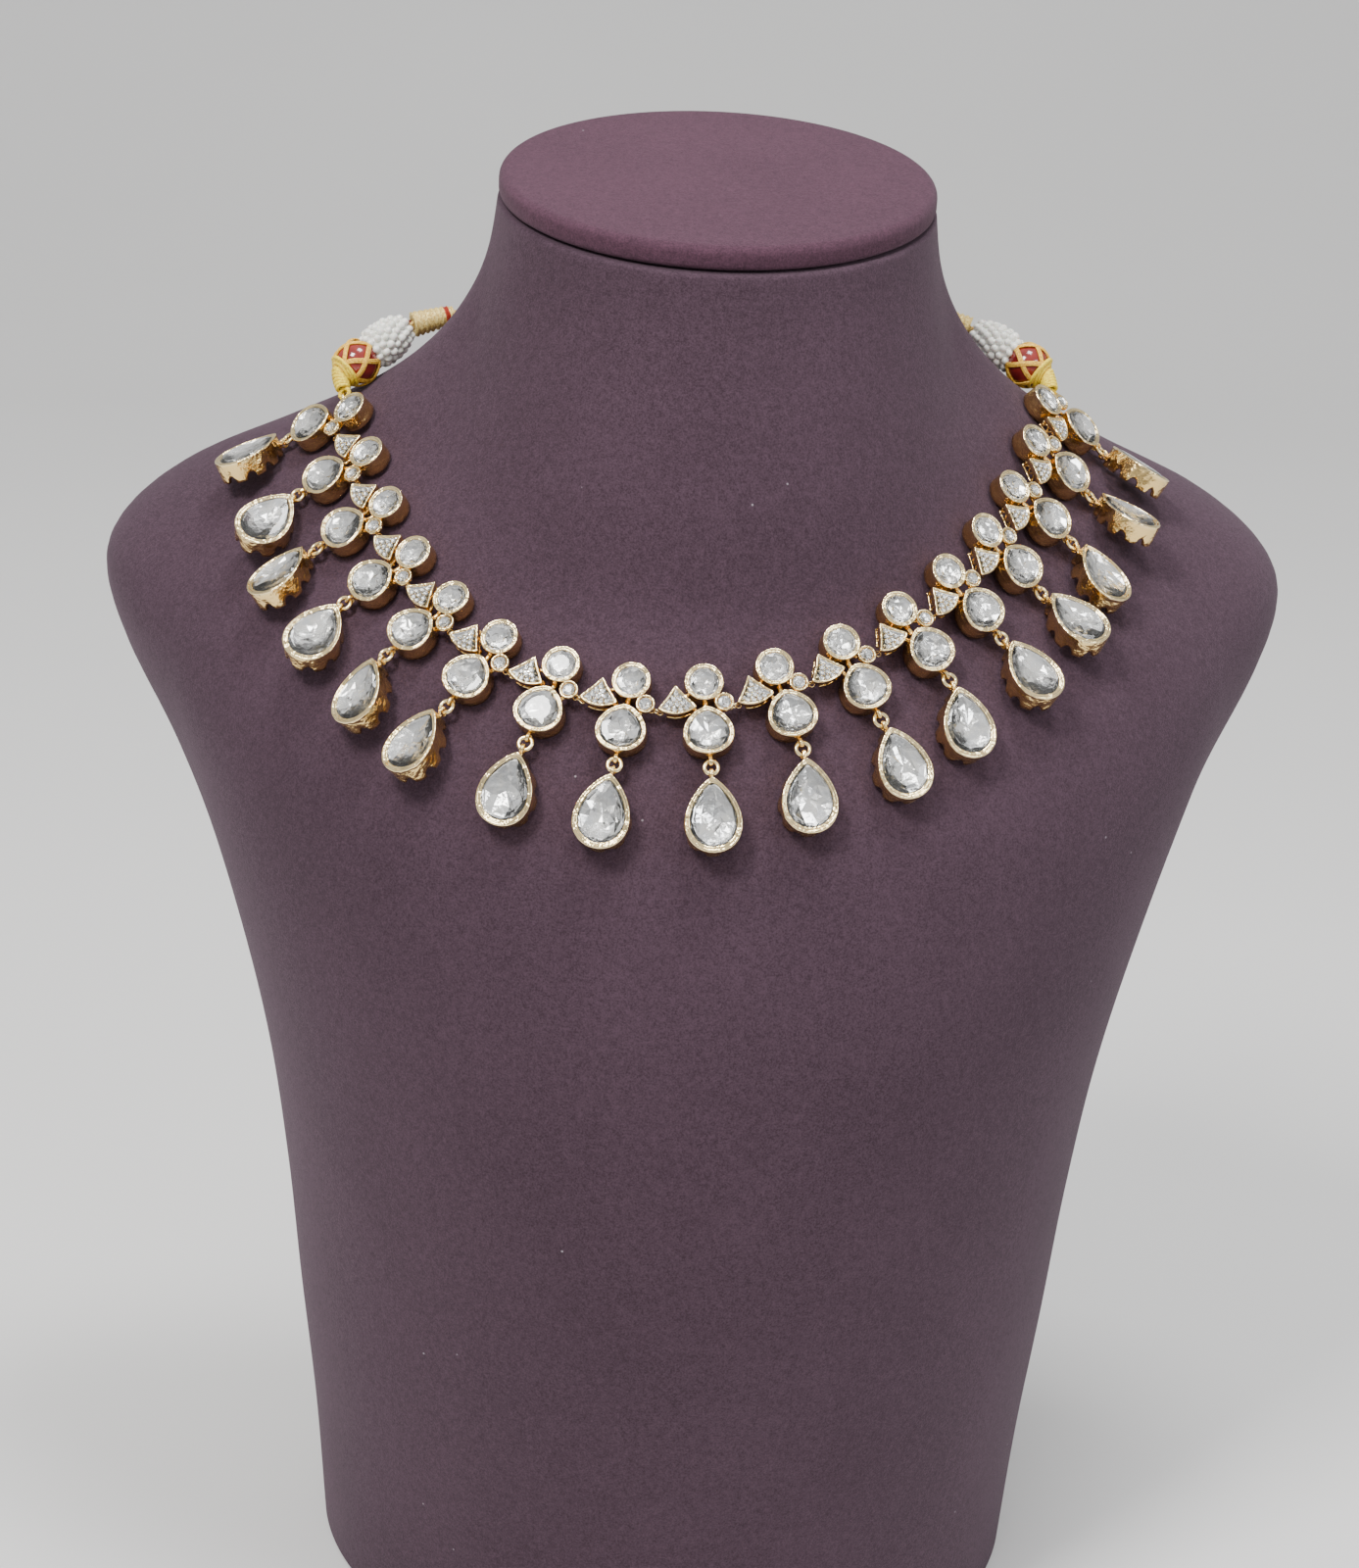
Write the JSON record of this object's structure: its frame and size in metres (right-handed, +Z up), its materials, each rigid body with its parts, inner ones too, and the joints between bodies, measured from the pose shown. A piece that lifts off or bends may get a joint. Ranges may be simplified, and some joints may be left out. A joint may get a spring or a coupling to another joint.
{
  "type": "kundan collar necklace on a display neck bust",
  "caption": "Collar necklace of gold-set foil-backed stones, fan plates and pear drops with pearl-covered cord ends, lying on a suede display bust with a flat neck cap.",
  "frame": {"origin": "point of the bust's flat base below the middle of its neck cap", "axes": "+Z up along the bust's height, -Y out of its chest, +X to the viewer's right"},
  "size_m": [0.251, 0.1521, 0.3095],
  "materials": {
    "plum_suede": "napped suede cloth",
    "cap_suede": "napped suede cloth",
    "gold": "polished gold",
    "ring_gold": "polished gold",
    "cut_stone": "foil-backed cut stone",
    "red_bead": "glossy",
    "seed_pearl": "pearl lustre",
    "yellow_thread": "silky thread",
    "wound_thread": "metallic thread winding",
    "cord_thread": "twisted thread"
  },
  "bodies": {
    "root": {"bust_form": "plum_suede", "neck_cap": "cap_suede", "setting_01": "gold", "setting_02": "gold", "setting_03": "gold", "setting_04": "gold", "setting_05": "gold", "setting_06": "gold", "setting_07": "gold", "setting_08": "gold", "setting_09": "gold", "setting_10": "gold", "setting_11": "gold", "setting_12": "gold", "setting_13": "gold", "setting_14": "gold", "setting_15": "gold", "setting_16": "gold", "setting_17": "gold", "drop_01": "gold", "drop_02": "gold", "drop_03": "gold", "drop_04": "gold", "drop_05": "gold", "drop_06": "gold", "drop_07": "gold", "drop_08": "gold", "drop_09": "gold", "drop_10": "gold", "drop_11": "gold", "drop_12": "gold", "drop_13": "gold", "drop_14": "gold", "drop_15": "gold", "drop_16": "gold", "drop_17": "gold", "upper_stones": "cut_stone", "lower_stones": "cut_stone", "collet_stones": "cut_stone", "pear_stones": "cut_stone", "link_rings": "ring_gold", "drop_rings": "ring_gold", "left_end_ring": "ring_gold", "left_tie": "yellow_thread", "left_ball": "red_bead", "left_barrel": "seed_pearl", "left_cone": "wound_thread", "right_end_ring": "ring_gold", "right_tie": "yellow_thread", "right_ball": "red_bead", "right_barrel": "seed_pearl", "right_cone": "wound_thread", "neck_cord": "cord_thread"}
  },
  "joints": []
}
